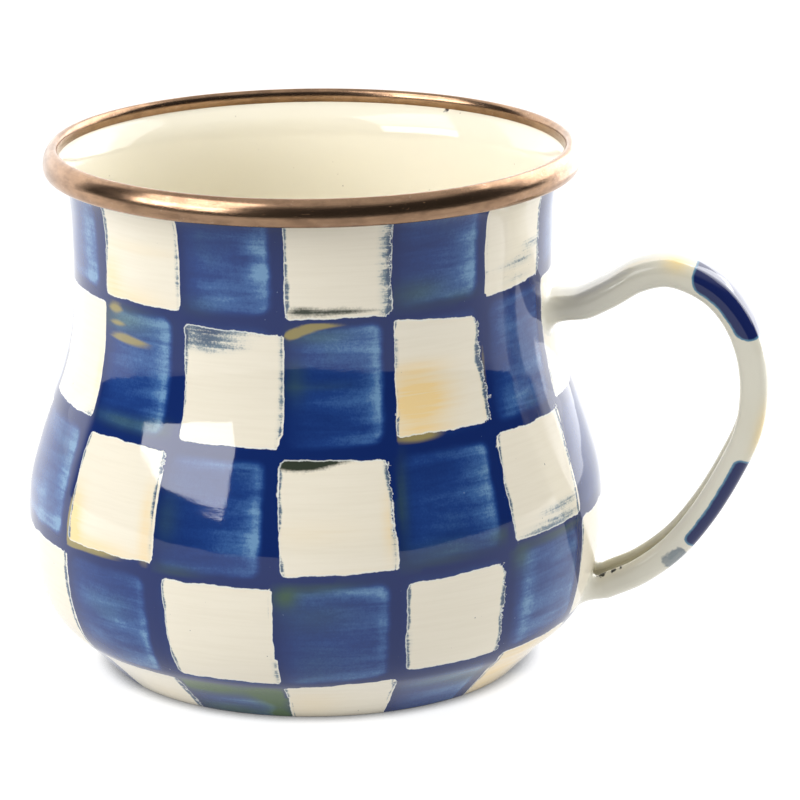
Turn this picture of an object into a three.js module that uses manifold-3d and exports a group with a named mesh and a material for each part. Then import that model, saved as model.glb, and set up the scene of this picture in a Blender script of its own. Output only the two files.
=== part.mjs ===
// Enamelled steel pot-belly mug with a rolled metal rim band and a welded channel handle.
// Units are millimetres, +Z up, the mug's axis on Z and its handle along +X.
import * as THREE from 'three';
import { mergeVertices } from 'three/addons/utils/BufferGeometryUtils.js';
import Module from 'manifold-3d';

const wasm = await Module();
wasm.setup();

// Body
const AROUND = 36;              // facets round the axis, shared by every turned piece
const ENAMEL = 0.3;             // thickness of each enamel coat
const STEEL = 0.8;              // thickness of the body sheet
const BASE_R = 39.3;            // flat part of the base
const FOOT_R = 40.6;            // outer radius of the standing ring
const CREASE_R = 46.4;          // crease where the foot cone meets the belly
const CREASE_Z = 7.2;
const BELLY_R = 54.6;           // widest point of the belly
const NECK_R = 45.05;           // narrowest point of the neck

// Rim
const RIM_R = 48.8;             // centre of the rolled rim
const RIM_Z = 97.45;
const BAND_A = 1.5;             // band section, half width and half height
const BAND_B = 2.55;
const BAND = 0.35;              // band sheet thickness
const CURL = 0.7;               // steel thickness in the curl
const CURL_END_DEG = -60;       // where the steel curl stops
const CURL_STEP_DEG = 40;
const BAND_END_DEG = -125;      // where the band's lower lip stops
const SEAM_DEG = 7.5;           // the band's butt joint, beside the handle
const SEAM_GAP = 0.12;
const SEAM_CUT = 8;             // size of the cut, larger than the band's section

// Handle
const STRAP = 0.9;              // thickness of the pressed channel
const WIDTH_TOP = 12.2;
const WIDTH_LOW = 11.0;
const DEPTH = 5.0;
const CORNER = 2.4;             // outer corner radius of the channel
const LIP_IN = 0.8;             // how far each lip curls back inwards
const LIP_TURN = 0.72;          // where the curl starts, as a share of the depth
const CROWN = 0.25;             // rise of the web's outer face across its width
const IN_WALL = 4;              // length of strap inside the wall's line at each end
const FLARE = 6.5;              // length of the flare at each end
const FLARE_WIDE = 2.6;         // extra half width at the wall
const FLARE_DEEP = 1.6;         // extra depth at the wall
const PAD_HALF_W = 9.0;         // oval pad welded to the wall
const PAD_HALF_H = 5.0;
const UPPER_PAD_Z = 70.4;
const LOWER_PAD_Z = 17.0;
const WELD_R = 1.5;
const WELD_OUT = 6.2;           // weld centres, measured sideways from the handle plane
const PATH_STEPS = 25;
const CUTTER_X = 36;            // pads and welds are cut by prisms from here outwards
const CUTTER_LONG = 30;
const CUTTER_FACETS = 12;

// Outer enamel surface from the base centre to the rim: [radius, height]
const OUTSIDE = [
  [0, 0], [BASE_R, 0], [FOOT_R, 0.6], [CREASE_R, CREASE_Z], [49.4, 9.8], [52.0, 13.8],
  [53.8, 20.0], [BELLY_R, 28.5], [54.1, 36.5], [52.3, 43.5], [49.7, 50.8], [47.3, 57.8],
  [45.7, 65.0], [NECK_R, 73.0], [NECK_R, 82.0], [45.3, 89.0], [46.1, 93.5], [47.6, 95.75],
];

// Outer face of the handle in the X-Z plane, from the upper joint to the lower one
const HANDLE_PATH = [
  [41.5, 72.1], [45.0, 72.2], [50.0, 72.7], [54.9, 75.2], [60.5, 78.5], [66.8, 79.9], [72.6, 78.5],
  [78.2, 75.0], [82.6, 69.3], [85.2, 62.3], [86.0, 54.3], [84.8, 46.3], [81.3, 38.2],
  [76.0, 29.1], [70.2, 21.9], [63.2, 16.5], [57.0, 13.6], [51.5, 12.5], [47.0, 12.2],
];

const rad = THREE.MathUtils.degToRad;

// Moves an open profile sideways; positive d is outwards from the mug's wall.
function offset(points, d) {
  const side = (a, b) => {
    const l = Math.hypot(b[0] - a[0], b[1] - a[1]);
    return [(b[1] - a[1]) / l, -(b[0] - a[0]) / l];
  };
  return points.map((p, i) => {
    const before = i > 0 ? side(points[i - 1], p) : side(p, points[i + 1]);
    const after = i < points.length - 1 ? side(p, points[i + 1]) : before;
    const k = d / (1 + before[0] * after[0] + before[1] * after[1]);
    const moved = [p[0] + (before[0] + after[0]) * k, p[1] + (before[1] + after[1]) * k];
    return p[0] === 0 ? [0, moved[1]] : moved;
  });
}

// The same for a closed outline, growing it by d.
function grow(outline, d) {
  const n = outline.length;
  const around = [outline[n - 1], ...outline, outline[0]];
  return offset(around, d).slice(1, n + 1);
}

function turn(profile) {
  const shape = profile.map(([r, z]) => new THREE.Vector2(r, z));
  const g = new THREE.LatheGeometry(shape, AROUND);
  return g.rotateX(Math.PI / 2);
}

function solid(geometry) {
  const bare = new THREE.BufferGeometry();
  bare.setAttribute('position', geometry.getAttribute('position').clone());
  if (geometry.index) bare.setIndex(geometry.index.clone());
  const welded = mergeVertices(bare, 1e-5);
  const tris = [];
  const index = welded.index.array;
  for (let i = 0; i < index.length; i += 3) {
    const [a, b, c] = [index[i], index[i + 1], index[i + 2]];
    if (a !== b && b !== c && c !== a) tris.push(a, b, c);
  }
  return new wasm.Manifold(new wasm.Mesh({
    numProp: 3,
    vertProperties: new Float32Array(welded.getAttribute('position').array),
    triVerts: new Uint32Array(tris),
  }));
}

function geometryOf(manifold) {
  const mesh = manifold.getMesh();
  const points = [];
  for (let i = 0; i < mesh.numVert; i++) {
    for (let k = 0; k < 3; k++) points.push(mesh.vertProperties[i * mesh.numProp + k]);
  }
  const g = new THREE.BufferGeometry();
  g.setAttribute('position', new THREE.Float32BufferAttribute(points, 3));
  g.setIndex([...mesh.triVerts]);
  g.computeVertexNormals();
  return g;
}

// A closed profile made of an outer path and the way back along an inner path.
const ring = (out, back) => [...out, ...[...back].reverse(), out[0]];
const turned = (profile) => solid(turn(profile));

// Body profiles
const steelOut = offset(OUTSIDE, -ENAMEL);
const steelIn = offset(OUTSIDE, -ENAMEL - STEEL);
const insideFace = offset(OUTSIDE, -2 * ENAMEL - STEEL);
const ellipse = (a, b, deg) => [RIM_R + a * Math.cos(rad(deg)), RIM_Z + b * Math.sin(rad(deg))];
const curlAngles = [];
for (let deg = 180; deg >= CURL_END_DEG; deg -= CURL_STEP_DEG) curlAngles.push(deg);
const bandAngles = [...curlAngles, (CURL_END_DEG + BAND_END_DEG) / 2, BAND_END_DEG];
const bandOut = bandAngles.map((deg) => ellipse(BAND_A, BAND_B, deg));
const bandIn = bandAngles.map((deg) => ellipse(BAND_A - BAND, BAND_B - BAND, deg));
const curlOut = bandIn.slice(0, curlAngles.length);
const curlIn = curlAngles.map((deg) => ellipse(BAND_A - BAND - CURL, BAND_B - BAND - CURL, deg));

const bodyShell = turned([
  ...steelOut, ...curlIn, ...[...curlOut].reverse(), ...[...steelIn].reverse(),
]);
const insideEnamel = turned([
  ...steelIn, curlOut[0], bandOut[0], ...[...insideFace].reverse(),
]);
const outsideCoat = turned([...OUTSIDE, ...[...steelOut].reverse()]);

// Rim band, cut through once at its butt joint
const seam = new THREE.BoxGeometry(SEAM_CUT, SEAM_GAP, SEAM_CUT);
seam.translate(RIM_R, 0, RIM_Z).rotateZ(rad(SEAM_DEG));
const rimBand = turned(ring(bandIn, bandOut)).subtract(solid(seam));

// Everything inside the outer enamel surface
const filled = (points) => turned([...points, [0, points[points.length - 1][1]]]);
const mugSolid = filled(OUTSIDE);

// Handle channel section at a place along the path, as [sideways, into the loop]
function channel(width, depth) {
  const w = width / 2;
  const half = [[w - LIP_IN, depth], [w, depth * LIP_TURN]];
  for (const deg of [0, 45, 90]) {
    half.push([w - CORNER * (1 - Math.cos(rad(deg))), CORNER * (1 - Math.sin(rad(deg)))]);
  }
  const outer = [...half, [0, -CROWN], ...half.map(([u, v]) => [-u, v]).reverse()];
  const front = offset(outer, ENAMEL);
  const back = offset(outer, ENAMEL + STRAP);
  const lip = depth - ENAMEL;
  front[0][1] = front[front.length - 1][1] = lip;
  back[0][1] = back[back.length - 1][1] = lip;
  return [...back, ...front.reverse()];
}

const curve = new THREE.CatmullRomCurve3(
  HANDLE_PATH.map(([x, z]) => new THREE.Vector3(x, 0, z)), false, 'centripetal');
const pathLength = curve.getLength();

function sweep(extra) {
  const rings = [];
  for (let i = 0; i <= PATH_STEPS; i++) {
    const t = i / PATH_STEPS;
    const p = curve.getPointAt(t);
    const d = curve.getTangentAt(t);
    const reach = Math.min(t, 1 - t) * pathLength - IN_WALL;
    const flare = THREE.MathUtils.clamp(1 - reach / FLARE, 0, 1) ** 2;
    const width = THREE.MathUtils.lerp(WIDTH_TOP, WIDTH_LOW, t) + 2 * FLARE_WIDE * flare;
    const outline = grow(channel(width, DEPTH + FLARE_DEEP * flare), extra);
    rings.push(outline.map(([u, v]) => [p.x + v * d.z, u, p.z - v * d.x]));
  }
  const n = rings[0].length;
  const points = rings.flat(2);
  const index = [];
  for (let i = 0; i < PATH_STEPS; i++) {
    for (let k = 0; k < n; k++) {
      const [a, b] = [i * n + k, i * n + ((k + 1) % n)];
      index.push(a, a + n, b, b, a + n, b + n);
    }
  }
  for (const [start, first] of [[0, true], [PATH_STEPS * n, false]]) {
    for (let k = 0; k < n / 2 - 1; k++) {
      const [a, b, c, d] = [k, k + 1, n - 2 - k, n - 1 - k].map((q) => q + start);
      index.push(...(first ? [a, b, c, a, c, d] : [a, c, b, a, d, c]));
    }
  }
  const g = new THREE.BufferGeometry();
  g.setAttribute('position', new THREE.Float32BufferAttribute(points, 3));
  g.setIndex(index);
  return solid(g);
}

// Oval pad outline, extruded along X
function padPrism(z, extra) {
  const shape = new THREE.Shape();
  shape.absellipse(0, 0, PAD_HALF_H + extra, PAD_HALF_W + extra, 0, 2 * Math.PI);
  const g = new THREE.ExtrudeGeometry(
    shape, { depth: CUTTER_LONG, bevelEnabled: false, curveSegments: CUTTER_FACETS });
  g.rotateY(Math.PI / 2);
  g.translate(CUTTER_X, 0, z);
  return solid(g);
}

// Channel and pads run on into the mug here, and are trimmed to its surface below.
function untrimmed(extra) {
  const skin = filled(offset(OUTSIDE, STRAP + extra));
  const ends = [UPPER_PAD_Z, LOWER_PAD_Z].map((z) => skin.intersect(padPrism(z, extra)));
  return ends.reduce((all, pad) => all.add(pad), sweep(extra));
}

// The largest body of a cut, without the slivers that rounding leaves along its edges.
const whole = (cut) => cut.decompose().reduce((a, b) => (a.volume() > b.volume() ? a : b));

const strapRaw = untrimmed(0);
const handleStrap = whole(strapRaw.subtract(mugSolid));
const handleEnamel = whole(untrimmed(ENAMEL).subtract(strapRaw).subtract(mugSolid));

// Spot welds through the outer coat, two at each handle end
const welds = {};
let outsideEnamel = outsideCoat;
for (const [end, z] of [['upper', UPPER_PAD_Z], ['lower', LOWER_PAD_Z]]) {
  for (const [side, y] of [['front', -WELD_OUT], ['rear', WELD_OUT]]) {
    const rod = new THREE.CylinderGeometry(WELD_R, WELD_R, CUTTER_LONG, CUTTER_FACETS);
    rod.rotateZ(Math.PI / 2).translate(CUTTER_X + CUTTER_LONG / 2, y, z);
    const pin = solid(rod);
    welds[`${end}_weld_${side}`] = outsideCoat.intersect(pin);
    outsideEnamel = outsideEnamel.subtract(pin);
  }
}

const finish = {
  bare_steel: { color: 0x6d6f72, roughness: 0.45, metalness: 1 },
  cream: { color: 0xf3ead6, roughness: 0.12, metalness: 0 },
  checks: { color: 0x8793ae, roughness: 0.12, metalness: 0 },
  bronze: { color: 0xb98d66, roughness: 0.28, metalness: 1 },
  ivory: { color: 0xdcd8c6, roughness: 0.12, metalness: 0 },
  weld: { color: 0x55575a, roughness: 0.6, metalness: 1 },
};

const group = new THREE.Group();
group.name = 'enamel_mug';
function place(name, manifold, look) {
  const mesh = new THREE.Mesh(geometryOf(manifold), new THREE.MeshStandardMaterial(look));
  mesh.name = name;
  group.add(mesh);
}
place('body_shell', bodyShell, finish.bare_steel);
place('inside_enamel', insideEnamel, finish.cream);
place('outside_enamel', outsideEnamel, finish.checks);
place('rim_band', rimBand, finish.bronze);
place('handle_strap', handleStrap, finish.bare_steel);
place('handle_enamel', handleEnamel, finish.ivory);
for (const [name, weld] of Object.entries(welds)) place(name, weld, finish.weld);

export default group;
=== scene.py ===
"""Enamelled steel pot-belly mug: fine meshes, painted enamel and a white studio round the CAD frame."""
import math

import bpy
import numpy as np
from mathutils import Matrix, Vector


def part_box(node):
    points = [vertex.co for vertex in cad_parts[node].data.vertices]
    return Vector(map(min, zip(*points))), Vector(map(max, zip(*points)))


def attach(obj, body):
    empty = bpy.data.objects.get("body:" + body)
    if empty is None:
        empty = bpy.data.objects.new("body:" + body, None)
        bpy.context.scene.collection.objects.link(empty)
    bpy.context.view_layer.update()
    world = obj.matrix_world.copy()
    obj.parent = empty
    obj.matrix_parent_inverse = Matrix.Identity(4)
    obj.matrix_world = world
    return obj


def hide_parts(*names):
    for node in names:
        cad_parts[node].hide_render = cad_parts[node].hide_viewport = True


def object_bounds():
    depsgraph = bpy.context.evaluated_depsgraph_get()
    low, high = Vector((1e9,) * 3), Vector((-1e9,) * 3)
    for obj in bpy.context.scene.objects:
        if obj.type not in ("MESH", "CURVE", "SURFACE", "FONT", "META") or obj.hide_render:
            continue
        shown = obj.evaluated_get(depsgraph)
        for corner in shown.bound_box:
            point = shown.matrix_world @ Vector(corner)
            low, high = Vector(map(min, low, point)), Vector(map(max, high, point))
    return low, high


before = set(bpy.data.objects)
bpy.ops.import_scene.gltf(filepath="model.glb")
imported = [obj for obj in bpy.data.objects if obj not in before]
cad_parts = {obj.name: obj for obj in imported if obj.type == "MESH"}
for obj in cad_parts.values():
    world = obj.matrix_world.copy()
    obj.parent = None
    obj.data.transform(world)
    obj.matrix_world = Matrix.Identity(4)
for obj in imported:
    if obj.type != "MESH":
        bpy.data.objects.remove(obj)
cad_box = [list(corner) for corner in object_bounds()]

MM = 0.001
rng = np.random.default_rng(14)

# ---------------------------------------------------------------- sizes, from the frame
HEIGHT = cad_box[1][2] / MM                          # to the top of the rim band
BELLY_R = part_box("outside_enamel")[1][0] / MM        # widest radius of the belly
BAND_OUT_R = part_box("rim_band")[1][0] / MM           # outer radius of the rim band
BAND_LOW_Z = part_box("rim_band")[0][2] / MM
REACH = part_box("handle_enamel")[1][0] / MM           # how far the handle stands out
ENAMEL = (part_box("body_shell")[0][2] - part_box("outside_enamel")[0][2]) / MM
STEEL = 0.8
BAND = 0.35
CURL = 0.7

# rolled rim: an oval section
BAND_B = (HEIGHT - BAND_LOW_Z) / 2
BAND_A = 1.5
LEAN = 0.2
RIM_R = BAND_OUT_R - BAND_A
RIM_Z = HEIGHT - BAND_B

# outer enamel surface, [radius, height] in mm
FOOT = [[39.3, 0.0], [40.6, 0.6], [46.4, 7.2]]
WALL = [
    [46.4, 7.2], [49.4, 9.8], [52.0, 13.8], [53.8, 20.0], [BELLY_R - 0.02, 28.5], [54.1, 36.5], [52.3, 43.5],
    [49.85, 50.8], [47.35, 57.8], [45.7, 65.0], [45.05, 73.0], [45.05, 82.0], [45.3, 89.0], [46.1, 93.5],
    [47.6, 95.75],
]


# ---------------------------------------------------------------- mesh helpers
def catmull(points, step):
    """Centripetal Catmull-Rom curve through the points, resampled to about step."""
    pts = np.asarray(points, float)
    first, last = 2 * pts[0] - pts[1], 2 * pts[-1] - pts[-2]
    pts = np.vstack([first, pts, last])
    knots = np.concatenate([[0], np.cumsum(np.linalg.norm(np.diff(pts, axis=0), axis=1) ** 0.5)])
    out = []
    for i in range(1, len(pts) - 2):
        t0, t1, t2, t3 = knots[i - 1:i + 3]
        t = np.linspace(t1, t2, 40, endpoint=False)[:, None]
        a1 = (t1 - t) / (t1 - t0) * pts[i - 1] + (t - t0) / (t1 - t0) * pts[i]
        a2 = (t2 - t) / (t2 - t1) * pts[i] + (t - t1) / (t2 - t1) * pts[i + 1]
        a3 = (t3 - t) / (t3 - t2) * pts[i + 1] + (t - t2) / (t3 - t2) * pts[i + 2]
        b1 = (t2 - t) / (t2 - t0) * a1 + (t - t0) / (t2 - t0) * a2
        b2 = (t3 - t) / (t3 - t1) * a2 + (t - t1) / (t3 - t1) * a3
        out.append((t2 - t) / (t2 - t1) * b1 + (t - t1) / (t2 - t1) * b2)
    return resample(np.vstack(out + [pts[-2:-1]]), step)


def resample(pts, step):
    """The same polyline with evenly spaced points."""
    length = np.concatenate([[0], np.cumsum(np.linalg.norm(np.diff(pts, axis=0), axis=1))])
    count = max(2, int(round(length[-1] / step)) + 1)
    at = np.linspace(0, length[-1], count)
    return np.stack([np.interp(at, length, pts[:, k]) for k in range(pts.shape[1])], axis=1)


def fillet(before, corner, after, radius, count=6):
    """Points of an arc that rounds a corner of a profile."""
    a, b, c = (np.asarray(p, float) for p in (before, corner, after))
    u, v = (a - b) / np.linalg.norm(a - b), (c - b) / np.linalg.norm(c - b)
    half = math.acos(np.clip(u @ v, -1, 1)) / 2
    reach = radius / math.tan(half)
    centre = b + (u + v) / np.linalg.norm(u + v) * radius / math.sin(half)
    start, end = b + u * reach - centre, b + v * reach - centre
    turn = math.atan2(start[0] * end[1] - start[1] * end[0], start @ end)
    angles = np.linspace(0, turn, count)
    return [centre + [start[0] * math.cos(t) - start[1] * math.sin(t),
                      start[0] * math.sin(t) + start[1] * math.cos(t)] for t in angles]


def sideways(profile, d):
    """The profile moved d mm towards the outside of the mug."""
    p = np.asarray(profile, float)
    t = np.gradient(p, axis=0)
    t /= np.linalg.norm(t, axis=1)[:, None]
    moved = p + d * np.stack([t[:, 1], -t[:, 0]], axis=1)
    moved[p[:, 0] == 0, 0] = 0
    return moved


def make_mesh(name, verts, faces, smooth_angle=50):
    mesh = bpy.data.meshes.new(name)
    mesh.from_pydata([tuple(v) for v in np.asarray(verts) * MM], [], faces)
    mesh.validate()
    mesh.update()
    mesh.shade_smooth()
    mesh.set_sharp_from_angle(angle=math.radians(smooth_angle))
    piece = bpy.data.objects.new(name, mesh)
    bpy.context.collection.objects.link(piece)
    return piece


def revolve(name, profile, around, smooth_angle=50):
    """Turns a closed profile that starts and ends on the axis, or a ring that closes on itself."""
    p = np.asarray(profile, float)
    ring = bool(p[0, 0] > 0)
    angle = np.arange(around) * 2 * math.pi / around
    rows, verts = [], []
    for r, z in p:
        rows.append((len(verts), 1 if r == 0 else around))
        if r == 0:
            verts.append((0, 0, z))
        else:
            verts += list(zip(r * np.cos(angle), r * np.sin(angle), np.full(around, z)))
    faces = []
    pairs = list(zip(rows, rows[1:] + rows[:1])) if ring else list(zip(rows, rows[1:]))
    for (a, na), (b, nb) in pairs:
        if na == 1 and nb == 1:
            continue
        for i in range(around):
            j = (i + 1) % around
            if na == 1:
                faces.append((a, b + j, b + i))
            elif nb == 1:
                faces.append((a + i, a + j, b))
            else:
                faces.append((a + i, a + j, b + j, b + i))
    return make_mesh(name, verts, faces, smooth_angle)


# ---------------------------------------------------------------- body profiles
def outer_profile(step):
    """Outer enamel surface from the base centre to the rim."""
    base = [[r, 0.0] for r in np.linspace(0, FOOT[0][0] - 1.2, 10)]
    heel = fillet([0, 0], FOOT[0], FOOT[2], 0.9)
    cone = resample(np.array([heel[-1], FOOT[2]]), step)[1:-1]
    wall = catmull(WALL, step)
    return np.vstack([base, heel, cone, wall])


def soften(profile, first, last, passes=3):
    """Rounds the crease between foot and belly."""
    p = profile.copy()
    for _ in range(passes):
        p[first:last] = (p[first - 1:last - 1] + 2 * p[first:last] + p[first + 1:last + 1]) / 4
    return p


def body_profiles(step):
    out = outer_profile(step)
    crease = int(np.argmin(np.linalg.norm(out - FOOT[2], axis=1)))
    out = soften(out, crease - 3, crease + 4)
    return out


def oval(a, b, degrees):
    """Points of an oval round the rim's middle whose top leans in towards the mouth."""
    t = np.radians(degrees)
    narrow = math.sqrt(1 - (LEAN * BAND_B / BAND_A) ** 2)
    return np.stack([RIM_R + narrow * a * np.cos(t) - LEAN * b * np.sin(t), RIM_Z + b * np.sin(t)], axis=1)


AROUND = 384
SEAM_DEG = 7.5                           # the band's butt joint, beside the handle
SEAM_HALF_GAP = 0.00024                  # radians
fine = body_profiles(0.85)
coarse = body_profiles(3.0)
curl_angles = np.linspace(180, -60, 28)
band_angles = np.concatenate([curl_angles, np.linspace(-70, -125, 7)])


def outside_piece():
    inner = sideways(coarse, -ENAMEL)
    return revolve("painted_outside_coat", np.vstack([fine, inner[::-1]]), AROUND)


def inside_piece():
    face = sideways(fine, -2 * ENAMEL - STEEL)
    back = sideways(coarse, -ENAMEL - STEEL)
    lip = np.vstack([oval(BAND_A - BAND, BAND_B - BAND, [180]), oval(BAND_A, BAND_B, [180])])
    return revolve("cream_inside_coat", np.vstack([back, lip, face[::-1]]), AROUND)


def shell_piece():
    out, back = sideways(coarse, -ENAMEL - 0.01), sideways(coarse, -ENAMEL - STEEL + 0.01)
    hollow = oval(BAND_A - BAND - CURL, BAND_B - BAND - CURL, curl_angles)
    curl = oval(BAND_A - BAND - 0.01, BAND_B - BAND - 0.01, curl_angles)
    return revolve("pressed_steel_body", np.vstack([out, hollow, curl[::-1], back[::-1]]), 180)


def band_piece():
    """Rim band: a rolled strip that is open at its butt joint."""
    seam = math.radians(SEAM_DEG)
    out = oval(BAND_A, BAND_B, band_angles)
    back = oval(BAND_A - BAND, BAND_B - BAND, band_angles)
    section = np.vstack([back, out[::-1]])
    n = len(section)
    turns = np.linspace(seam + SEAM_HALF_GAP, seam + 2 * math.pi - SEAM_HALF_GAP, 520)
    verts = [(r * math.cos(t), r * math.sin(t), z) for t in turns for r, z in section]
    faces = [(i * n + k, (i + 1) * n + k, (i + 1) * n + (k + 1) % n, i * n + (k + 1) % n)
             for i in range(len(turns) - 1) for k in range(n)]
    for start, flip in ((0, False), ((len(turns) - 1) * n, True)):
        for k in range(n // 2 - 1):
            quad = [start + q for q in (k, k + 1, n - 2 - k, n - 1 - k)]
            faces.append(tuple(quad[::-1] if flip else quad))
    return make_mesh("rolled_rim_band", verts, faces)


# ---------------------------------------------------------------- handle
# outer face of the handle in the X-Z plane, from near the upper joint to near the lower one, in mm
HANDLE_PATH = [
    [50.0, 72.7], [54.9, 75.2], [60.5, 78.5], [66.8, 79.9], [72.6, 78.5], [78.2, 75.0], [82.6, 69.3],
    [85.2, 62.3], [REACH - 0.27, 54.3], [84.8, 46.3], [81.3, 38.2], [76.0, 29.1], [70.2, 21.9],
    [63.2, 16.5], [57.0, 13.6],
]
WIDTH_TOP, WIDTH_LOW, DEPTH = 12.2, 11.0, 5.0
CORNER, LIP_IN, CROWN = 2.4, 1.0, 0.25
STRAP = 0.9
COAT_HALF = STRAP / 2 + ENAMEL           # half the thickness of the coated strip
UPPER_FILLET, LOWER_FILLET = 3.4, 4.6
OUT_POINTS, CAP_POINTS = 61, 5


def wall_radius(z):
    """Outer radius of the mug at height z, in mm."""
    side = fine[fine[:, 0] > FOOT[0][0] - 0.5]
    return np.interp(z, side[:, 1], side[:, 0])


def middle_line(width):
    """Middle of the coated strip across the handle, [sideways, into the loop], with its normals."""
    w = width / 2
    arc = np.radians(np.linspace(0, 90, 9))
    side = [[w - LIP_IN, DEPTH], [w - LIP_IN * 0.4, DEPTH * 0.9], [w - LIP_IN * 0.08, DEPTH * 0.74]]
    side += [[w - CORNER * (1 - math.cos(t)), CORNER * (1 - math.sin(t))] for t in arc]
    flat = [[x, -CROWN * (1 - (x / (w - CORNER)) ** 2)] for x in np.linspace(w - CORNER, 0, 6)[1:]]
    half = np.array(side + flat)
    whole = np.vstack([half, (half[:-1] * [-1, 1])[::-1]])
    smooth = catmull(whole, 0.25)
    at = np.linspace(0, len(smooth) - 1, OUT_POINTS)
    line = np.stack([np.interp(at, np.arange(len(smooth)), smooth[:, k]) for k in (0, 1)], axis=1)
    t = np.gradient(line, axis=0)
    t /= np.linalg.norm(t, axis=1)[:, None]
    outward = np.stack([-t[:, 1], t[:, 0]], axis=1)
    if outward[OUT_POINTS // 2, 1] > 0:
        outward = -outward
    return line - outward * COAT_HALF, outward


def section_loop(width, half):
    """Closed section of a strip of this half thickness: points, normals, place across, inner flag."""
    mid, n = middle_line(width)
    across = np.cumsum(np.r_[0, np.linalg.norm(np.diff(mid + n * COAT_HALF, axis=0), axis=1)])
    across = across[-1] / 2 - across
    t = np.stack([n[:, 1], -n[:, 0]], axis=1)
    if t[0] @ (mid[1] - mid[0]) < 0:
        t = -t
    turn = np.linspace(0, math.pi, CAP_POINTS + 2)[1:-1]
    end_cap = [n[-1] * math.cos(a) + t[-1] * math.sin(a) for a in turn]
    start_cap = [-n[0] * math.cos(a) - t[0] * math.sin(a) for a in turn]
    points = np.vstack([mid + n * half, mid[-1] + np.array(end_cap) * half,
                        (mid - n * half)[::-1], mid[0] + np.array(start_cap) * half])
    normals = np.vstack([n, end_cap, -n[::-1], start_cap])
    place = np.r_[across, np.full(CAP_POINTS, across[-1]), across[::-1], np.full(CAP_POINTS, across[0])]
    inner = np.r_[np.zeros(OUT_POINTS), np.full(CAP_POINTS, 0.5), np.ones(OUT_POINTS),
                  np.full(CAP_POINTS, 0.5)]
    return points, normals, place, inner


path = catmull(HANDLE_PATH, 0.7)
along = np.concatenate([[0], np.cumsum(np.linalg.norm(np.diff(path, axis=0), axis=1))])
tangent = np.gradient(path, axis=0)
tangent /= np.linalg.norm(tangent, axis=1)[:, None]
into = np.stack([tangent[:, 1], -tangent[:, 0]], axis=1)


ROOT_SINK = 0.4                          # how far the roots run on under the wall's surface, in mm


def root_rings(i, half, radius, drop):
    """Rings that carry the section on from one end of the path and flare it on to the wall."""
    points, normals, _, inner = section_loop(WIDTH_TOP if i == 0 else WIDTH_LOW, half)
    flare = (1 - 0.75 * np.maximum(0, -normals[:, 1])) * np.where(inner == 1, 0.22, 1)
    x_end = path[i, 0] + points[:, 1] * into[i, 0]
    z_end = path[i, 1] + points[:, 1] * into[i, 1]

    def wall(u, z):
        return np.sqrt(np.maximum(wall_radius(z) ** 2 - u ** 2, 1))

    gap_end = x_end - wall(points[:, 0], z_end)
    curve_r = np.minimum(radius - COAT_HALF + half, gap_end * 0.92)
    rings = []
    for tau in np.linspace(0, 1, 14)[1:]:
        lead = min(tau / 0.3, 1)
        theta = max(0, (tau - 0.3) / 0.7) * math.pi / 2
        spread = (curve_r * (1 - math.cos(theta)) * flare)[:, None] * normals
        u = points[:, 0] + spread[:, 0]
        z = z_end + spread[:, 1] * into[i, 1] - drop * tau * (2 - tau)
        gap = np.where(theta > 0, curve_r * (1 - math.sin(theta)), gap_end + (curve_r - gap_end) * lead)
        rings.append(np.stack([wall(u, z) + gap, u, z], axis=1))
    sunk = rings[-1].copy()
    sunk[:, 0] -= ROOT_SINK
    return rings + [sunk]


def handle_rings(half):
    """Rings of points from the wall at the upper joint to the wall at the lower one."""
    middle = []
    for i in range(len(path)):
        share = along[i] / along[-1]
        points = section_loop(WIDTH_TOP + (WIDTH_LOW - WIDTH_TOP) * share, half)[0]
        u, v = points[:, 0], points[:, 1]
        middle.append(np.stack([path[i, 0] + v * into[i, 0], u, path[i, 1] + v * into[i, 1]], axis=1))
    upper = root_rings(0, half, UPPER_FILLET, 0.4)[::-1]
    lower = root_rings(len(path) - 1, half, LOWER_FILLET, 0.5)
    return upper, middle, lower


def tube_faces(count, n, start=0, flip=False):
    faces = []
    for i in range(count - 1):
        for k in range(n):
            a, b = start + i * n + k, start + i * n + (k + 1) % n
            quad = (a, b, b + n, a + n)
            faces.append(quad[::-1] if flip else quad)
    return faces


def smooth_rings(rings, fixed, passes=4):
    """Eases the step between the fillets and the swept part."""
    block = np.array(rings)
    for _ in range(passes):
        inner = (block[:-2] + 2 * block[1:-1] + block[2:]) / 4
        block[1:-1][~fixed[1:-1]] = inner[~fixed[1:-1]]
    return block


def handle_block(half):
    upper, middle, lower = handle_rings(half)
    count = len(upper) + len(middle) + len(lower)
    fixed = np.ones(count, bool)
    fixed[len(upper) - 6:len(upper) + 8] = False
    fixed[count - len(lower) - 8:count - len(lower) + 6] = False
    return smooth_rings(upper + middle + lower, fixed), len(upper), len(lower)


def handle_pieces():
    outer, head, tail = handle_block(COAT_HALF)
    inner = handle_block(STRAP / 2)[0]
    count, n = outer.shape[:2]
    verts = np.vstack([outer.reshape(-1, 3), inner.reshape(-1, 3)])
    faces = tube_faces(count, n) + tube_faces(count, n, count * n, flip=True)
    for i, flip in ((0, True), (count - 1, False)):
        for k in range(n):
            a, b = i * n + k, i * n + (k + 1) % n
            quad = (a, b, b + count * n, a + count * n)
            faces.append(quad[::-1] if flip else quad)
    coat = make_mesh("handle_enamel_coat", verts, faces, 60)
    place, side = section_loop(WIDTH_TOP, COAT_HALF)[2:]
    run = np.concatenate([np.linspace(-6, 0, head, endpoint=False), along,
                          along[-1] + np.linspace(0, 6, tail + 1)[1:]])
    paint_handle(coat, np.repeat(run, n), np.tile(place, count), np.tile(side, count))

    rings = handle_block(STRAP / 2 - 0.01)[0]
    faces = tube_faces(count, n)
    faces += [tuple(range(n))[::-1], tuple((count - 1) * n + k for k in range(n))]
    strap = make_mesh("handle_steel_strap", rings.reshape(-1, 3), faces, 60)
    return coat, strap


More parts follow.
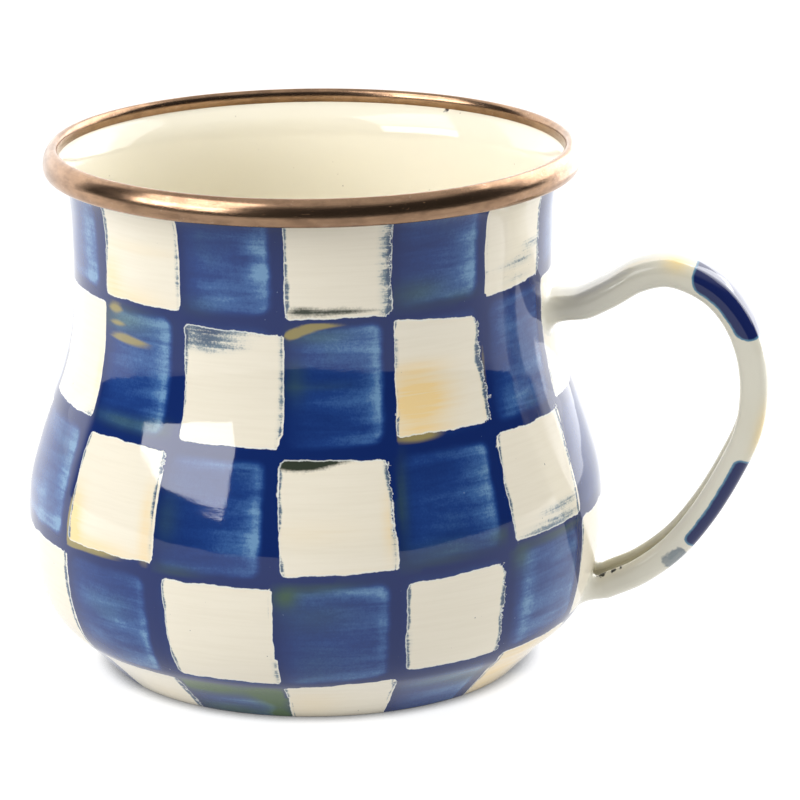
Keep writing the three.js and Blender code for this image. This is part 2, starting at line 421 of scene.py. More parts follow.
def capsule(run, place, box, radius):
    """How far inside a rounded box each point lies, in mm."""
    (s0, w0), (s1, w1) = box
    ds = np.abs(run - (s0 + s1) / 2) - (s1 - s0) / 2 + radius
    dw = np.abs(place - (w0 + w1) / 2) - (w1 - w0) / 2 + radius
    outside = np.hypot(np.maximum(ds, 0), np.maximum(dw, 0)) + np.minimum(np.maximum(ds, dw), 0)
    return radius - outside


def write_field(mesh, name, values, domain="POINT"):
    data = mesh.attributes.new(name, "FLOAT", domain)
    data.data.foreach_set("value", np.ascontiguousarray(values, dtype=np.float32))


def paint_handle(coat, run, place, side):
    """Two blue dabs, a grey smear and yellow wash, placed in mm along and across the handle."""
    total = len(coat.data.vertices)
    fields = {
        "dab": np.maximum(capsule(run, place, ((24.2, -8.9), (42.4, 3.6)), 3.2),
                          capsule(run, place, ((67.4, -7.6), (87.2, 4.5)), 1.2)),
        "smear": capsule(run, place, ((88.4, -7.8), (94.0, 3.6)), 1.2),
        "wash": np.maximum(np.exp(-((run - 20.5) / 2.6) ** 2 - ((place + 4.2) / 2.4) ** 2),
                           0.8 * np.exp(-((run - 60.5) / 5.0) ** 2 - ((place + 4.6) / 1.6) ** 2))
        + 0.35 * np.exp(-((run - 12.5) / 4.0) ** 2 - ((place + 3.4) / 0.9) ** 2),
    }
    for name, values in fields.items():
        values = np.where(side > 0.5, -9 if name != "wash" else 0, values)
        write_field(coat.data, name, np.r_[values, np.full(total - len(values), 0 if name == "wash" else -9)])


# ---------------------------------------------------------------- the painted checks
COLUMN_COUNT = 14
NEAR_COLUMNS = 5                         # whole columns that face the camera
FIRST_EDGE = -138                        # azimuth of their left edge, in degrees
NEAR_WIDTHS = [25.2, 25.2, 24.4, 24.4, 25.0]    # width of those columns in each row, in degrees
FAR_SPREAD = 1.4                         # how unevenly the edges on the far side are painted, in degrees
ROW_TOP, ROW_BOTTOM = 98.5, -3.6
ROW_MARGIN = 0.75                        # blue border above and below every white square, in mm
# Height of each edge between two rows, and how much higher it runs at the handle
ROW_EDGES = [(76.5, 1.5), (53, 1), (30.5, 3), (8.5, 4)]
# How much further in each front square's edges lie, in mm, trimmed one by one: left edge at its top and
# bottom, right edge at its top and bottom, top edge at its left and right, bottom edge likewise
TRIMS = {
    (0, 0): (.8, .1, -.5, -1.2, 0, 0, 0, 0), (2, 0): (0, 0, 0, 0, 0, 0, -.3, -.6),
    (4, 0): (-.8, -1.2, 1.8, 1.2, 0, 0, -1.0, 0), (-1, 1): (0, 0, -1.0, -1.2, 0, 0, .8, .6),
    (1, 1): (.4, 1.6, -.2, -1.2, .6, 1.7, .6, .2), (3, 1): (-.2, -.1, 1.9, .5, .2, 2.3, 1.0, .9),
    (0, 2): (.7, .1, .2, -.9, .1, .1, .8, .8), (2, 2): (0, 1.5, 1.1, -.2, -.1, .8, .5, .1),
    (4, 2): (0, 1.3, 0, 0, .2, 0, 0, 0), (1, 3): (1.8, 2.0, -.6, -.8, 0, .1, 1.6, 1.2),
    (3, 3): (1.2, 1.2, 1.2, 1.0, 1.4, 1.4, 1.2, .2), (-1, 3): (0, 0, .2, .2, .3, .3, .4, .4),
    (0, 4): (0, 0, .2, .2, -.8, -.8, 0, 0), (2, 4): (-.2, -.2, .1, -1.4, -1.0, -1.0, 0, 0),
    (4, 4): (0, 0, 0, 0, -.5, -.5, 0, 0),
}

# Brush marks inside the cells that face the front: field, column, row, then each mark's middle
# (across, down), its half lengths and its strength
MARKS = {
    "cloud": {
        (-1, 0): [(.72, .55, .13, .5, .9), (.3, .5, .3, .8, .3)],
        (1, 0): [(.4, .5, .6, .8, .16), (.80, .55, .11, .34, .5), (.4, .82, .26, .12, .35),
                 (.76, .38, .12, .045, .5), (.80, .58, .12, .045, .5)],
        (3, 0): [(.5, .5, .6, .8, .14), (.86, .7, .15, .3, .6), (.8, .42, .16, .045, .5),
                 (.55, .9, .3, .08, .4), (.6, .62, .3, .12, .25)],
        (5, 0): [(.5, .5, .6, .8, .4)],
        (0, 1): [(.5, .4, .7, .5, .22), (.55, .12, .5, .15, .5), (.87, .4, .13, .45, .6),
                 (.85, .85, .2, .12, .5), (.6, .42, .4, .05, .25)],
        (2, 1): [(.5, .3, .7, .3, .1), (.6, .15, .5, .17, .55), (.9, .55, .12, .42, .55),
                 (.6, .62, .3, .05, .2), (.7, .95, .35, .05, .5), (.75, .76, .2, .04, .25)],
        (4, 1): [(.5, .5, .7, .7, .3), (.3, .25, .3, .2, .3), (.5, .88, .4, .09, .45)],
        (-1, 2): [(.5, .5, .7, .7, .32), (.85, .5, .11, .5, .6), (.5, .8, .12, .3, .4)],
        (1, 2): [(.6, .06, .5, .05, .5), (.9, .55, .11, .38, .75), (.5, .93, .5, .06, .35),
                 (.7, .72, .26, .035, .4), (.75, .60, .22, .03, .35), (.7, .5, .3, .4, .18)],
        (3, 2): [(.5, .4, .6, .6, .14), (.85, .15, .25, .12, .35), (.86, .62, .16, .3, .45),
                 (.84, .62, .16, .02, .5), (.7, .35, .3, .12, .2)],
        (0, 3): [(.5, .5, .7, .7, .26), (.45, .36, .3, .05, .4), (.6, .52, .3, .05, .4),
                 (.5, .68, .3, .05, .4), (.9, .65, .07, .32, .65), (.75, .88, .2, .06, .5)],
        (2, 3): [(.5, .4, .6, .6, .14), (.65, .1, .5, .09, .5), (.93, .5, .07, .4, .45),
                 (.6, .9, .4, .045, .5), (.6, .4, .3, .2, .15)],
        (4, 3): [(.5, .5, .7, .7, .36), (.2, .5, .09, .5, .8), (.5, .25, .3, .07, .4),
                 (.4, .6, .3, .05, .3), (.45, .8, .3, .05, .35)],
        (-1, 4): [(.5, .5, .7, .7, .3)],
        (1, 4): [(.5, .5, .7, .7, .25), (.7, .36, .35, .05, .6), (.88, .6, .09, .25, .6),
                 (.3, .55, .2, .1, .35)],
        (3, 4): [(.5, .5, .7, .7, .12), (.5, .2, .5, .06, .7), (.5, .5, .3, .08, .25)],
    },
    "green": {
        (1, 0): [(.2, .9, .2, .08, .2)],
        (3, 0): [(.25, .84, .28, .12, .45), (.7, .92, .2, .06, .3)],
        (0, 1): [(.45, .9, .4, .05, .5), (.8, .88, .15, .06, .4), (.3, .13, .4, .1, .55)],
        (2, 1): [(.35, .5, .3, .03, .2), (.3, .12, .3, .06, .45), (.1, .45, .1, .15, .35)],
        (1, 2): [(.1, .55, .1, .2, .25), (.2, .95, .2, .05, .4)],
        (3, 2): [(.35, .9, .4, .1, .35), (.9, .86, .1, .06, .4), (.05, .4, .05, .3, .4)],
        (2, 3): [(.1, .12, .1, .09, .8), (.35, .06, .3, .05, .45), (.35, .3, .3, .15, .2)],
        (4, 3): [(.12, .1, .1, .12, .5), (.6, .03, .4, .04, .5)],
        (1, 4): [(.25, .12, .4, .14, 1.7), (.85, .2, .2, .2, 1.7), (.9, .66, .12, .25, 1.2),
                 (.4, .62, .4, .14, .9)],
        (3, 4): [(.4, .2, .3, .1, .45), (.8, .3, .2, .1, .4)],
    },
    "yellow": {
        (0, 0): [(.1, .8, .16, .2, .6), (.4, .93, .4, .08, .45), (.5, .5, .5, .05, .2)],
        (0, 1): [(.16, .06, .13, .045, 1.1), (.3, .27, .26, .035, 1.0), (.5, .30, .3, .025, .8),
                 (.2, .17, .16, .03, .9)],
        (2, 1): [(.06, .11, .07, .035, 1.2), (.14, .08, .1, .03, 1.3), (.26, .05, .13, .028, 1.2),
                 (.45, .03, .22, .02, 1.0), (.15, .5, .06, .05, .3)],
        (3, 1): [(.22, .68, .3, .2, 1.6), (.2, .44, .3, .05, .5), (.2, .93, .3, .06, .7),
                 (.95, .55, .04, .3, .7)],
        (-1, 1): [(.95, .6, .05, .2, .4)],
        (0, 2): [(.06, .78, .12, .24, 1.5), (.4, .93, .4, .09, .9), (.92, .8, .07, .25, .6),
                 (.9, .5, .06, .2, .4)],
        (2, 2): [(.93, .6, .05, .25, .5), (.3, .97, .4, .03, .4), (.3, .6, .4, .1, .15)],
        (2, 4): [(.2, .4, .3, .3, .3)],
        (4, 4): [(.3, .4, .5, .5, 1.1)],
        (0, 4): [(.6, .5, .3, .2, .15)],
    },
    "dry": {
        (0, 0): [(1.0, .62, .05, .4, 1.0)],
        (2, 0): [(1.0, .5, .13, .9, 1.1), (.1, .0, .12, .05, .5)],
        (4, 0): [(.5, .78, .4, .05, .7), (.8, .66, .3, .06, .7), (.5, .92, .4, .04, .5),
                 (.1, .1, .06, .08, .8), (.0, .5, .03, .5, .8)],
        (1, 1): [(.3, .07, .5, .08, .95), (.25, .2, .42, .08, .85), (.0, .2, .06, .12, 1.0),
                 (1.0, .5, .05, .7, .9)],
        (-1, 1): [(.92, .95, .1, .08, .9), (1, .5, .04, .5, .5)],
        (3, 1): [(.0, .3, .05, .18, .9), (1.0, .9, .05, .2, .6)],
        (0, 2): [(1.0, .75, .05, .2, .9), (.6, 1.0, .4, .03, .7)],
        (2, 2): [(1.0, .6, .06, .5, .9), (.0, .6, .045, .5, .7)],
        (4, 2): [(.7, .80, .4, .05, .75), (.55, .93, .5, .06, .85), (.0, .5, .06, .4, .9)],
        (1, 3): [(1.0, .8, .05, .25, .8), (.4, .05, .4, .03, .35)],
        (3, 3): [(.02, .65, .08, .18, 1.1), (1.0, .5, .07, .6, .9), (.6, 1.0, .5, .03, .8),
                 (.75, .12, .3, .05, .35)],
        (-1, 3): [(1.0, .5, .05, .5, .8)],
        (2, 4): [(1.0, .5, .03, .5, .6)],
    },
    "smudge": {
        (2, 0): [(.45, .93, .5, .045, .75), (.15, .9, .15, .04, .4)],
        (2, 2): [(.2, .05, .3, .07, 1.4), (.7, .03, .3, .03, .8)],
        (0, 0): [(.97, .95, .05, .04, .5)],
        (1, 3): [(.3, .98, .3, .02, .5)],
    },
}


def unseen_marks():
    """The same kinds of mark, by chance, in the cells on the far side."""
    for row in range(5):
        for column in range(6, COLUMN_COUNT - 1):
            def put(field, *mark):
                MARKS[field].setdefault((column, row), []).append(mark)
            a, b, c = rng.random(3)
            if (column + row) % 2:
                put("cloud", .5, .5, .7, .7, .1 + .2 * a)
                put("cloud", .84 + .06 * b, .4 + .3 * a, .12, .4, .5 + .2 * c)
                put("cloud", .6, .1 + .8 * (a > .5), .4, .07, .3 + .3 * b)
                put("cloud", .7, .3 + .4 * c, .25, .04, .4)
                if b > .55:
                    put("green", .2 + .6 * a, .1 + .8 * c, .25, .08, .6)
                if c > .7:
                    put("yellow", .12, .06 + .2 * b, .12, .035, .8)
            else:
                put("dry", 1.0, .3 + .5 * a, .04 + .05 * (c > .7), .4, .9)
                if b > .5:
                    put("dry", .2 + .5 * a, .06 + .88 * (c > .5), .4, .05, .7)
                if a > .45:
                    put("yellow", .1 + .2 * b, .7 + .2 * c, .2, .16, .4 + .4 * c)


def row_place(azimuth, z):
    """Row coordinate: whole numbers fall on the edges between rows, 0 is above the rim."""
    edges = [np.full_like(z, ROW_TOP)]
    for height, rise in ROW_EDGES:
        edges.append(height + rise * np.clip(np.cos(np.radians(azimuth)), 0, None))
    edges.append(np.full_like(z, ROW_BOTTOM))
    edges = np.array(edges)
    place = np.zeros_like(z)
    for i in range(len(edges) - 1):
        part = np.clip((edges[i] - z) / (edges[i] - edges[i + 1]), 0, 1)
        place += part
    return place, edges


def column_edges(width):
    """Azimuths of one row's edges: evenly spaced in front, a little uneven on the far side."""
    near = FIRST_EDGE + width * np.arange(NEAR_COLUMNS + 1)
    far = np.linspace(near[-1], FIRST_EDGE + 360, COLUMN_COUNT - NEAR_COLUMNS + 1)[1:-1]
    return np.r_[near, far + rng.uniform(-FAR_SPREAD, FAR_SPREAD, len(far))]


def column_place(azimuth, z):
    """Column coordinate: whole numbers fall on the edges between columns."""
    rows = []
    for width in NEAR_WIDTHS:
        row = column_edges(width)
        knots = np.concatenate([row - 360, row, row + 360])
        rows.append(np.interp(azimuth, knots, np.arange(len(knots)) - COLUMN_COUNT))
    rows = np.array(rows)
    limits = np.array([ROW_TOP] + [edge for edge, _ in ROW_EDGES] + [ROW_BOTTOM])
    height = (limits[1:] + limits[:-1]) / 2
    order = np.argsort(height)
    blend = np.interp(z, height[order], order.astype(float))
    low = np.clip(np.floor(blend).astype(int), 0, len(rows) - 2)
    share = blend - low
    share = share * share * (3 - 2 * share)
    pick = np.arange(len(z))
    return rows[low, pick] * (1 - share) + rows[low + 1, pick] * share


def paint_checks(piece):
    """Writes the check pattern's coordinates and brush marks on the mesh, face corner by corner."""
    mesh = piece.data
    co = np.empty(len(mesh.vertices) * 3)
    mesh.vertices.foreach_get("co", co)
    co = co.reshape(-1, 3) / MM
    corner = np.empty(len(mesh.loops), int)
    mesh.loops.foreach_get("vertex_index", corner)
    starts = np.empty(len(mesh.polygons), int)
    mesh.polygons.foreach_get("loop_start", starts)
    owner = np.repeat(np.arange(len(starts)), np.diff(np.r_[starts, len(corner)]))
    xyz = co[corner]
    azimuth = np.degrees(np.arctan2(xyz[:, 1], xyz[:, 0]))
    top = np.maximum.reduceat(azimuth, starts)
    azimuth = np.where(top[owner] - azimuth > 180, azimuth + 360, azimuth)
    z = xyz[:, 2]
    radius = np.hypot(xyz[:, 0], xyz[:, 1])
    column = column_place(azimuth, z)
    row, edges = row_place(azimuth, z)
    which = np.clip(np.floor(row).astype(int), 0, 4)
    pick = np.arange(len(z))
    tall = edges[which, pick] - edges[which + 1, pick]
    slope = np.interp(z, [0, 7, 9, 14, 20, 40, 60, 100], [1.4, 1.4, 1.35, 1.15, 1.03, 1.03, 1.05, 1.0])
    wide, high = radius * math.radians(360 / COLUMN_COUNT), tall * slope
    cell = np.floor(column).astype(int)
    across, down = column - cell, np.clip(row - which, 0, 1)
    wrapped = (cell + 1) % COLUMN_COUNT - 1
    left, right, above, below = across * wide, (1 - across) * wide, down * high, (1 - down) * high
    white = (cell + which) % 2 == 0
    trims = np.zeros((8, len(z)))
    for (k, r), trim in TRIMS.items():
        trims[:, (wrapped == k) & (which == r)] = np.array(trim)[:, None]
    trims[4:8] += ROW_MARGIN
    sides = np.array([left - trims[0] * (1 - down) - trims[1] * down,
                      right - trims[2] * (1 - down) - trims[3] * down,
                      above - trims[4] * (1 - across) - trims[5] * across,
                      below - trims[6] * (1 - across) - trims[7] * across])

    def rounded(a, b, radius_mm):
        da, db = np.maximum(radius_mm - a, 0), np.maximum(radius_mm - b, 0)
        return radius_mm - np.hypot(da, db)

    ivory_in = rounded(np.minimum(sides[0], sides[1]) - 0.15, np.minimum(sides[2], sides[3]), 1.1)
    border = -np.minimum(np.minimum(left, right), np.minimum(above, below)) - 0.2
    plain = (radius < FOOT[0][0] - 0.3) & (z < 0.6)
    blue_in = rounded(np.minimum(left - 0.5, right - 1.9), np.minimum(above - 0.9, below - 0.9), 2.4)
    inner = np.maximum(blue_in - 0.5, 0)
    rim = 0.85 * np.minimum(inner, 1) * np.exp(-inner / 2.6)
    halo = rim * (0.12 + 1.05 * np.exp(-np.maximum(right - 3.0, 0) / 2.6)
                  + 0.45 * np.exp(-np.maximum(below - 2.2, 0) / 1.8)
                  + 0.35 * np.exp(-np.maximum(above - 2.2, 0) / 1.6))
    fields = {
        "ivory_in": np.where(plain, 1.1, np.where(white, ivory_in, border)),
        "from_right": np.where(plain, 9, sides[1]), "from_left": np.where(plain, 9, sides[0]),
        "blue_in": blue_in, "halo": np.where(white, 0, halo), "start": left,
    }
    for name, cells in MARKS.items():
        total = np.zeros(len(z))
        for (k, r), marks in cells.items():
            inside = (wrapped == k) & (which == r)
            for u, v, su, sv, amount in marks:
                total[inside] += amount * np.exp(
                    -((across[inside] - u) / su) ** 2 - ((down[inside] - v) / sv) ** 2)
        fields[name] = np.clip(total, 0, 1.3)
    for name, values in fields.items():
        write_field(mesh, name, values, "CORNER")


# ---------------------------------------------------------------- node building
class Shader:
    """A material's node tree, with short names for the nodes that these finishes use."""

    def __init__(self, name):
        self.material = bpy.data.materials.new(name)
        self.material.use_nodes = True
        self.tree = self.material.node_tree
        self.bsdf = self.tree.nodes["Principled BSDF"]
        self.place = self.node("ShaderNodeTexCoord").outputs["Object"]

    def node(self, kind, **settings):
        made = self.tree.nodes.new(kind)
        for key, value in settings.items():
            setattr(made, key, value)
        return made

    def put(self, value, socket):
        if isinstance(value, bpy.types.NodeSocket):
            self.tree.links.new(value, socket)
        else:
            socket.default_value = value

    def math(self, operation, *values, clamp=False):
        made = self.node("ShaderNodeMath", operation=operation, use_clamp=clamp)
        for value, socket in zip(values, made.inputs):
            self.put(value, socket)
        return made.outputs[0]

    def add(self, a, b):
        return self.math("ADD", a, b)

    def sub(self, a, b):
        return self.math("SUBTRACT", a, b)

    def mul(self, a, b):
        return self.math("MULTIPLY", a, b)

    def high(self, a, b):
        return self.math("MAXIMUM", a, b)

    def ease(self, value, start, end):
        """0 below start, 1 above end, smooth between."""
        made = self.node("ShaderNodeMapRange", interpolation_type="SMOOTHSTEP")
        self.put(value, made.inputs["Value"])
        self.put(start, made.inputs["From Min"])
        self.put(end, made.inputs["From Max"])
        return made.outputs["Result"]

    def mix(self, factor, a, b):
        made = self.node("ShaderNodeMix", data_type="RGBA")
        sockets = [s for s in made.inputs if s.type == "RGBA"]
        self.put(factor, made.inputs["Factor"])
        for value, socket in zip((a, b), sockets):
            self.put(value if isinstance(value, bpy.types.NodeSocket) else (*value, 1), socket)
        return next(s for s in made.outputs if s.type == "RGBA")

    def ramp(self, value, stops):
        made = self.node("ShaderNodeValToRGB")
        self.put(value, made.inputs["Fac"])
        points = made.color_ramp.elements
        while len(points) < len(stops):
            points.new(0.5)
        for point, (at, colour) in zip(points, stops):
            point.position, point.color = at, (*colour, 1)
        return made.outputs["Color"]

    def stretched(self, x, y, z):
        made = self.node("ShaderNodeMapping", vector_type="POINT")
        self.put(self.place, made.inputs["Vector"])
        made.inputs["Scale"].default_value = (x, y, z)
        return made.outputs["Vector"]

    def noise(self, scale, detail=2.0, rough=0.5, vector=None, distortion=0.0):
        made = self.node("ShaderNodeTexNoise")
        self.put(self.place if vector is None else vector, made.inputs["Vector"])
        made.inputs["Scale"].default_value = scale
        made.inputs["Detail"].default_value = detail
        made.inputs["Roughness"].default_value = rough
        made.inputs["Distortion"].default_value = distortion
        return made.outputs["Fac"]

    def attribute(self, name):
        return self.node("ShaderNodeAttribute", attribute_name=name).outputs["Fac"]

    def blot(self, centre, radius):
        """A ragged spot round a point of the object."""
        made = self.node("ShaderNodeVectorMath", operation="DISTANCE")
        self.put(self.place, made.inputs[0])
        made.inputs[1].default_value = centre
        far = self.add(made.outputs["Value"], self.mul(self.sub(self.noise(1600, 2), 0.5), radius))
        return self.ease(far, radius * 1.1, radius * 0.8)

    def blots(self, spots):
        out = 0.0
        for centre, radius in spots:
            out = self.high(out, self.blot(centre, radius))
        return out

    def pits(self):
        """Tiny specks in the enamel."""
        return self.ease(self.noise(1500, 0), 0.885, 0.905)

    def bump(self, height, distance):
        made = self.node("ShaderNodeBump")
        made.inputs["Distance"].default_value = distance
        made.inputs["Strength"].default_value = 1.0
        self.put(height, made.inputs["Height"])
        return made.outputs["Normal"]

    def finish(self, colour, roughness, normal=None, metallic=0.0, ior=1.5):
        self.put(colour, self.bsdf.inputs["Base Color"])
        self.put(roughness, self.bsdf.inputs["Roughness"])
        self.bsdf.inputs["Metallic"].default_value = metallic
        self.bsdf.inputs["IOR"].default_value = ior
        if normal is not None:
            self.put(normal, self.bsdf.inputs["Normal"])
        return self.material


# Black chips: centre and radius in metres
MOUTH_CHIPS = [((0.0196, 0.0423, 0.0976), 0.0008), ((0.0250, 0.0392, 0.0977), 0.0004)]
CHANNEL_CHIPS = [((0.0549, -0.0046, 0.0189), 0.0011), ((0.0573, -0.0047, 0.0196), 0.0007),
                 ((0.0587, -0.0047, 0.0201), 0.0005)]
CREAM = (0.86, 0.80, 0.665)
YELLOW = (0.89, 0.665, 0.32)
OCHRE = (0.37, 0.30, 0.09)
GREEN = (0.055, 0.115, 0.04)
SOOT = (0.035, 0.045, 0.03)
DRY_BLUE = (0.15, 0.21, 0.26)
BLUES = [(0.0, (0.0045, 0.020, 0.122)), (0.3, (0.012, 0.047, 0.205)), (0.6, (0.045, 0.122, 0.32)),
         (1.0, (0.155, 0.30, 0.49))]


def checks_material():
    g = Shader("painted_checks")
    hairs = g.noise(1.0, 3, 0.6, g.stretched(70, 70, 1500))
    fine = g.noise(2600, 2, 0.6)
    grain = g.noise(950, 3, 0.65)
    cloudy = g.noise(130, 3, 0.55, distortion=0.4)
    wander = g.mul(g.sub(g.noise(190, 2, 0.55), 0.5), 1.1)
    speckle = g.add(g.mul(fine, 0.45), g.add(g.mul(grain, 0.35), g.mul(hairs, 0.2)))
    from_right = g.attribute("from_right")

    # ivory squares: crisp at the left, frayed by the dry brush at the right
    fray = g.mul(g.ease(from_right, 2.6, 0.4), g.mul(g.sub(grain, 0.55), 2.4))
    nick = g.mul(g.sub(grain, 0.5), 0.45)
    ivory_in = g.add(g.attribute("ivory_in"), g.add(wander, g.add(fray, nick)))
    white = g.ease(ivory_in, -0.06, 0.10)
    uneven = g.mul(g.sub(g.noise(105, 2, 0.6), 0.42), 3.2)
    edge_dry = g.high(g.mul(g.ease(g.sub(from_right, uneven), 1.5, 0.5), 0.95),
                      g.mul(g.ease(g.sub(g.attribute("from_left"), uneven), 0.9, 0.2), 0.9))
    dry = g.high(g.attribute("dry"), edge_dry)
    brush = g.add(g.mul(speckle, 0.6), g.mul(hairs, 0.4))
    level = g.sub(0.78, g.mul(dry, 0.36))
    dry_mask = g.mul(g.ease(brush, g.sub(level, 0.11), g.add(level, 0.08)),
                     g.ease(ivory_in, -0.05, 0.25))
    warm = g.math("MULTIPLY", g.attribute("yellow"), g.add(0.25, g.mul(hairs, 1.2)), clamp=True)
    ivory = g.mix(g.mul(g.ease(hairs, 0.35, 0.75), 0.4), CREAM, (0.78, 0.715, 0.575))
    ivory = g.mix(g.mul(cloudy, 0.3), ivory, (0.84, 0.77, 0.60))
    ivory = g.mix(warm, ivory, YELLOW)
    film = g.mul(g.ease(dry, 0.15, 0.9), g.ease(brush, 0.28, 0.62))
    ivory = g.mix(g.mul(film, 0.72), ivory, (0.34, 0.42, 0.44))
    ivory = g.mix(dry_mask, ivory, g.mix(g.ease(dry, 0.75, 1.05), DRY_BLUE, (0.05, 0.08, 0.15)))
    soot = g.ease(g.add(g.mul(brush, 0.9), g.attribute("smudge")), 0.72, 1.2)
    ivory = g.mix(soot, ivory, SOOT)
    ivory = g.mix(g.mul(g.pits(), 0.7), ivory, (0.13, 0.13, 0.13))
    ivory = g.mix(g.mul(g.ease(ivory_in, 0.32, 0.12), 0.75), ivory, (0.80, 0.83, 0.80))

    # blue squares: cloudy brush marks inside a deep smooth border
    streaks = g.noise(1.0, 3, 0.6, g.stretched(48, 48, 400), distortion=0.5)
    broad = g.noise(1.0, 2, 0.5, g.stretched(30, 30, 120), distortion=0.6)
    inside_blue = g.add(g.attribute("blue_in"), g.mul(wander, 1.2))
    loaded = g.ease(g.attribute("start"), 0.5, 5.0)
    field = g.mul(g.ease(inside_blue, -0.4, 1.3), g.add(0.35, g.mul(loaded, 0.65)))
    texture = g.add(g.mul(g.ease(streaks, 0.25, 0.78), 0.62), g.mul(g.ease(broad, 0.25, 0.75), 0.5))
    halo = g.mul(g.attribute("halo"), g.add(0.25, g.mul(broad, 0.7)))
    tone = g.add(g.mul(g.attribute("cloud"), 0.84), halo)
    tone = g.add(g.add(0.05, g.mul(texture, 0.16)), g.mul(tone, g.add(0.28, texture)))
    tone = g.add(tone, g.mul(g.sub(speckle, 0.5), g.add(0.16, g.mul(tone, 1.3))))
    tone = g.math("MULTIPLY", tone, field, clamp=True)
    blue = g.ramp(tone, BLUES)
    teal = g.mul(g.ease(g.noise(70, 2), 0.5, 0.75), g.ease(tone, 0.12, 0.45))
    blue = g.mix(g.mul(teal, 0.3), blue, (0.045, 0.115, 0.15))
    greened = g.math("MULTIPLY", g.attribute("green"), g.add(0.45, g.mul(streaks, 0.9)), clamp=True)
    blue = g.mix(greened, blue, GREEN)
    ochre = g.ease(g.mul(g.attribute("yellow"), g.add(0.5, streaks)), 0.35, 0.95)
    blue = g.mix(g.mul(ochre, 0.8), blue, OCHRE)
    blue = g.mix(g.mul(g.ease(g.noise(1700, 0), 0.885, 0.91), 0.5), blue, (0.2, 0.28, 0.42))

    colour = g.mix(white, blue, ivory)
    waves = g.add(g.noise(55, 1), g.mul(g.noise(160, 1), 0.16))
    relief = g.add(g.mul(white, -0.10), g.mul(tone, -0.07))
    normal = g.bump(g.add(waves, relief), 0.00022)
    return g.finish(colour, g.add(0.04, g.mul(dry_mask, 0.05)), normal, ior=1.52)


def inside_material():
    g = Shader("cream_enamel")
    cloudy = g.noise(60, 2, 0.5)
    colour = g.mix(cloudy, (0.94, 0.89, 0.745), (0.92, 0.865, 0.70))
    colour = g.mix(g.mul(g.pits(), 0.5), colour, (0.30, 0.25, 0.18))
    chip = g.blots(MOUTH_CHIPS)
    colour = g.mix(chip, colour, (0.03, 0.035, 0.05))
    normal = g.bump(g.add(g.noise(45, 1), g.mul(g.noise(300, 1), 0.04)), 0.0002)
    return g.finish(colour, g.add(0.05, g.mul(g.noise(150, 1), 0.03)), normal, ior=1.52)


def handle_material():
    g = Shader("ivory_enamel_painted_shade")
    edge = g.mul(g.sub(g.noise(500, 2, 0.6), 0.5), 0.9)
    hairs = g.noise(1.0, 3, 0.6, g.stretched(260, 1400, 260))
    # the handle's own ivory, set darker than the body's cream as painted shade on a handle that turns from
    # the lamps
    colour = g.mix(g.noise(70, 2, 0.5), (0.75, 0.725, 0.62), (0.68, 0.65, 0.53))
    wash = g.math("MULTIPLY", g.attribute("wash"), g.add(0.45, g.mul(hairs, 1.2)), clamp=True)
    colour = g.mix(wash, colour, (0.84, 0.66, 0.32))
    colour = g.mix(g.mul(g.pits(), 0.7), colour, (0.12, 0.11, 0.1))
    dab = g.attribute("dab")
    rim = g.ease(g.add(dab, g.mul(edge, 0.6)), -0.22, 0.02)
    body = g.ease(g.add(dab, g.mul(edge, 0.6)), 0.0, 0.5)
    colour = g.mix(rim, colour, (0.10, 0.24, 0.36))
    colour = g.mix(body, colour, (0.0075, 0.016, 0.095))
    smear = g.ease(g.add(g.attribute("smear"), g.mul(edge, 2.5)), 0.0, 0.7)
    colour = g.mix(g.mul(smear, g.add(0.45, g.mul(hairs, 0.6))), colour, (0.10, 0.15, 0.20))
    chip = g.blots(CHANNEL_CHIPS)
    colour = g.mix(chip, colour, (0.008, 0.011, 0.012))
    relief = g.add(g.noise(70, 1), g.add(g.mul(rim, 0.10), g.mul(chip, -0.8)))
    roughness = g.add(0.055, g.mul(chip, 0.35))
    return g.finish(colour, roughness, g.bump(relief, 0.00018), ior=1.52)


def band_material():
    g = Shader("bronzed_steel")
    rings = g.noise(1.0, 4, 0.7, g.stretched(110, 110, 4200))
    patina = g.noise(210, 4, 0.6, g.stretched(1.0, 1.0, 2.5))
    mottle = g.noise(1500, 3, 0.7)
    colour = g.mix(g.ease(patina, 0.35, 0.7), (0.42, 0.265, 0.165), (0.30, 0.185, 0.115))
    colour = g.mix(g.mul(g.ease(rings, 0.5, 0.8), 0.4), colour, (0.19, 0.11, 0.07))
    colour = g.mix(g.mul(g.ease(mottle, 0.60, 0.74), 0.4), colour, (0.58, 0.46, 0.38))
    scratch = g.ease(g.noise(1.0, 2, 0.5, g.stretched(700, 700, 5200), distortion=1.2), 0.72, 0.78)
    roughness = g.add(0.13, g.add(g.mul(rings, 0.12), g.mul(g.ease(patina, 0.4, 0.7), 0.05)))
    height = g.add(g.mul(rings, 0.5), g.add(g.mul(mottle, 0.35), g.mul(scratch, -0.7)))
    return g.finish(colour, roughness, g.bump(height, 0.000022), metallic=1.0)


def steel_material(name, dark=False):
    g = Shader(name)
    grain = g.noise(1.0, 4, 0.65, g.stretched(260, 260, 2400))
    scale = g.noise(350, 4, 0.6)
    light = (0.20, 0.20, 0.21) if dark else (0.42, 0.42, 0.43)
    colour = g.mix(g.ease(scale, 0.4, 0.7), light, tuple(0.6 * c for c in light))
    normal = g.bump(g.add(grain, scale), 0.00004)
    return g.finish(colour, g.add(0.38, g.mul(grain, 0.2)), normal, metallic=1.0)


